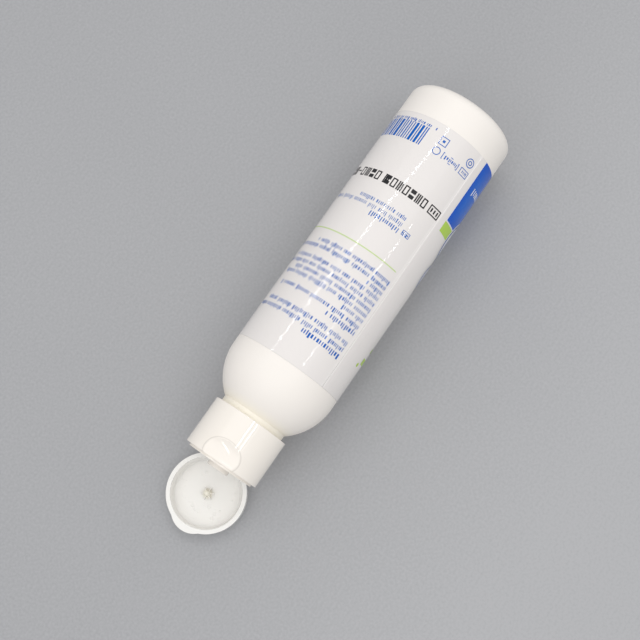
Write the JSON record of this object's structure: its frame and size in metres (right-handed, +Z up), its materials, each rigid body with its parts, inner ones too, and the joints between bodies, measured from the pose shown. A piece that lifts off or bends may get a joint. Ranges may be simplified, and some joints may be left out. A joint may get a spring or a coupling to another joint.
{
  "type": "squeeze bottle with flip-top cap",
  "caption": "Round squeeze bottle of gel with a domed shoulder, wrap label and screw cap, lying with its flip-top lid open.",
  "frame": {"origin": "middle of the footprint of the part as it lies, on the surface under it", "axes": "+X runs along the bottle from its base to its cap and the open lid, +Z is up, out of the surface it lies on"},
  "size_m": [0.169, 0.0396, 0.0395],
  "materials": {
    "bottle_plastic": "white blow-moulded polyethylene, satin",
    "label_film": "glossy white film",
    "ink_blue": "blue ink under gloss varnish",
    "ink_green": "yellow-green ink under gloss varnish",
    "gel": "clear water-based gel",
    "washer_foam": "closed-cell foam",
    "cap_plastic": "white moulded polypropylene, glossy",
    "lid_plastic": "white moulded polypropylene, glossy, slightly translucent"
  },
  "bodies": {
    "bottle": {"bottle": "bottle_plastic", "label_film": "label_film", "print_blue": "ink_blue", "print_green": "ink_green", "gel_fill": "gel"},
    "washer": {"seal_washer": "washer_foam"},
    "cap": {"cap_base": "cap_plastic"},
    "lid": {"cap_lid": "lid_plastic"}
  },
  "joints": [
    {"name": "cap_lift", "type": "slide", "parent": "bottle", "child": "washer", "axis": [1, 0, 0], "range_m": [0, 0.0048]},
    {"name": "cap_turn", "type": "hinge", "parent": "washer", "child": "cap", "pos_m": [0.05046, 0, 0.01972], "axis": [1, 0, 0], "range_deg": [0, 540]},
    {"name": "lid_flip", "type": "hinge", "parent": "cap", "child": "lid", "pos_m": [0.05774, 0, 0.00762], "axis": [0, 1, 0], "range_deg": [-90, 40]}
  ],
  "couplings": [
    {"joint": "cap_lift", "follows": "cap_turn", "m_per_rad": 0.0005053}
  ]
}
